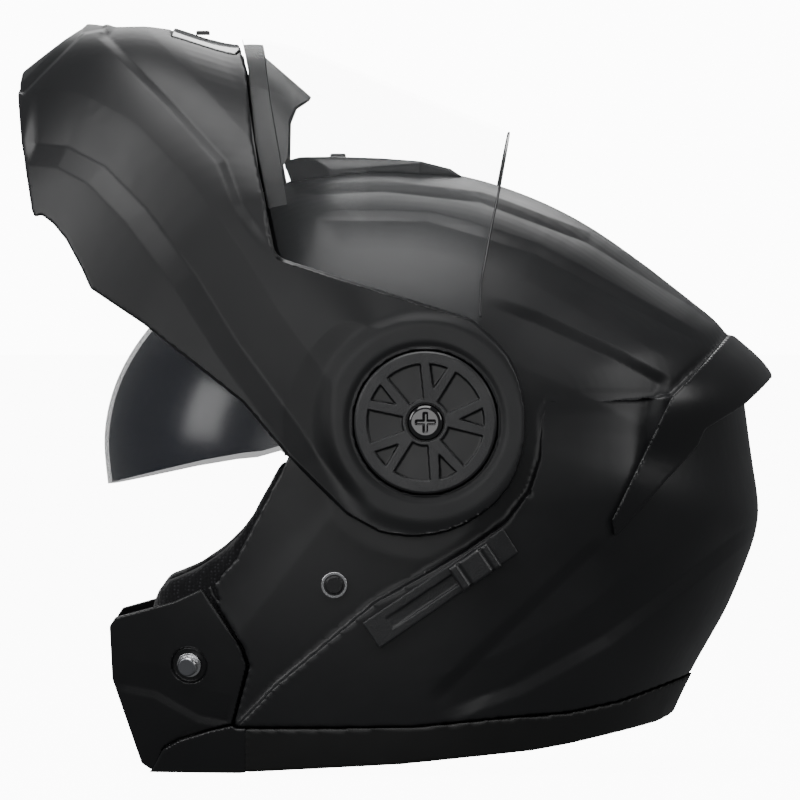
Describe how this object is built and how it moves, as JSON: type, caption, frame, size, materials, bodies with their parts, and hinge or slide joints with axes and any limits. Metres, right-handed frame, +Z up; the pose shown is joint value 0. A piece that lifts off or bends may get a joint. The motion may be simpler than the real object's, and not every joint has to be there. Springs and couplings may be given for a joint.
{
  "type": "modular motorcycle helmet",
  "caption": "Flip-up motorcycle helmet with the chin bar raised, clear visor, drop-down sun visor, round pivot covers, vents, rear spoiler and padded lining",
  "frame": {"origin": "on the ground line, midway between the rearmost and foremost points with the chin bar raised, on the plane of symmetry", "axes": "+X is the wearer's left, +Y is the back of the head, +Z is up"},
  "size_m": [0.2544, 0.3308, 0.3263],
  "materials": {
    "shell_paint": "matte black painted shell",
    "chin_paint": "matte black painted chin bar",
    "satin_black": "satin black moulding",
    "cover_black": "grained black moulding",
    "gloss_black": "gloss black",
    "clear_visor": "clear polycarbonate",
    "smoke_visor": "smoke tinted polycarbonate",
    "foam": "dark expanded foam",
    "pad_fabric": "black mesh fabric",
    "webbing": "black woven webbing",
    "rubber": "black rubber",
    "steel": "polished steel",
    "gunmetal": "dark steel"
  },
  "bodies": {
    "shell": {"base_trim": "rubber", "brow_gasket": "rubber", "cheek_pad_left": "pad_fabric", "cheek_pad_right": "pad_fabric", "chin_strap_left": "webbing", "chin_strap_right": "webbing", "crown_pad": "pad_fabric", "eps_liner": "foam", "jaw_cover_left": "satin_black", "jaw_cover_right": "satin_black", "jaw_trim_left": "satin_black", "jaw_trim_right": "satin_black", "latch_pin_left": "gunmetal", "latch_pin_right": "gunmetal", "neck_roll": "pad_fabric", "outer_shell": "shell_paint", "pivot_hub_left": "satin_black", "pivot_hub_right": "satin_black", "pivot_screw_left": "gloss_black", "pivot_screw_right": "gloss_black", "rear_spoiler": "satin_black", "slider_plate": "satin_black", "strap_stud_left": "steel", "strap_stud_right": "steel", "sun_visor_pin_left": "steel", "sun_visor_pin_right": "steel", "top_vent": "satin_black"},
    "chin_bar": {"chin_bar": "chin_paint", "chin_vent": "gloss_black", "chin_frame": "satin_black", "visor_gasket": "rubber", "breath_deflector": "rubber", "chin_liner": "pad_fabric", "pivot_cover_left": "cover_black", "pivot_cover_right": "cover_black"},
    "visor": {"visor": "clear_visor"},
    "sun_visor": {"sun_visor": "smoke_visor"},
    "slider_button": {"slider_button": "satin_black"},
    "top_vent_slider": {"top_vent_slider": "gloss_black"},
    "chin_vent_slider": {"chin_vent_slider": "satin_black"},
    "release_button": {"release_button": "gloss_black"},
    "latch_hook_left": {"latch_hook_left": "gunmetal"},
    "latch_hook_right": {"latch_hook_right": "gunmetal"}
  },
  "joints": [
    {"name": "chin_bar_flip", "type": "hinge", "parent": "shell", "child": "chin_bar", "pos_m": [0, 0.01258, 0.15246], "axis": [1, 0, 0], "range_deg": [0, 79]},
    {"name": "visor_tilt", "type": "hinge", "parent": "chin_bar", "child": "visor", "pos_m": [0, 0.01258, 0.15246], "axis": [1, 0, 0], "range_deg": [-45, 0]},
    {"name": "sun_visor_drop", "type": "hinge", "parent": "shell", "child": "sun_visor", "pos_m": [0, -0.02394, 0.12738], "axis": [1, 0, 0], "range_deg": [-52, 0]},
    {"name": "sun_visor_slider", "type": "slide", "parent": "shell", "child": "slider_button", "axis": [-0.0202, -0.8299, -0.5575], "range_m": [0, 0.0321]},
    {"name": "top_vent_slide", "type": "slide", "parent": "shell", "child": "top_vent_slider", "axis": [0, 1, 0], "range_m": [0, 0.008]},
    {"name": "chin_vent_slide", "type": "slide", "parent": "chin_bar", "child": "chin_vent_slider", "axis": [1, 0, 0], "range_m": [0, 0.008]},
    {"name": "release_button_press", "type": "slide", "parent": "chin_bar", "child": "release_button", "axis": [0, 1, 0], "range_m": [0, 0.003], "stiffness_N_per_m": 600},
    {"name": "latch_hook_left_pull", "type": "slide", "parent": "chin_bar", "child": "latch_hook_left", "axis": [0, 0.5471, 0.8371], "range_m": [0, 0.003]},
    {"name": "latch_hook_right_pull", "type": "slide", "parent": "chin_bar", "child": "latch_hook_right", "axis": [0, 0.5471, 0.8371], "range_m": [0, 0.003]}
  ],
  "couplings": [
    {"joint": "sun_visor_slider", "follows": "sun_visor_drop", "m_per_rad": -0.03526},
    {"joint": "latch_hook_left_pull", "follows": "release_button_press", "ratio": 1},
    {"joint": "latch_hook_right_pull", "follows": "release_button_press", "ratio": 1}
  ]
}
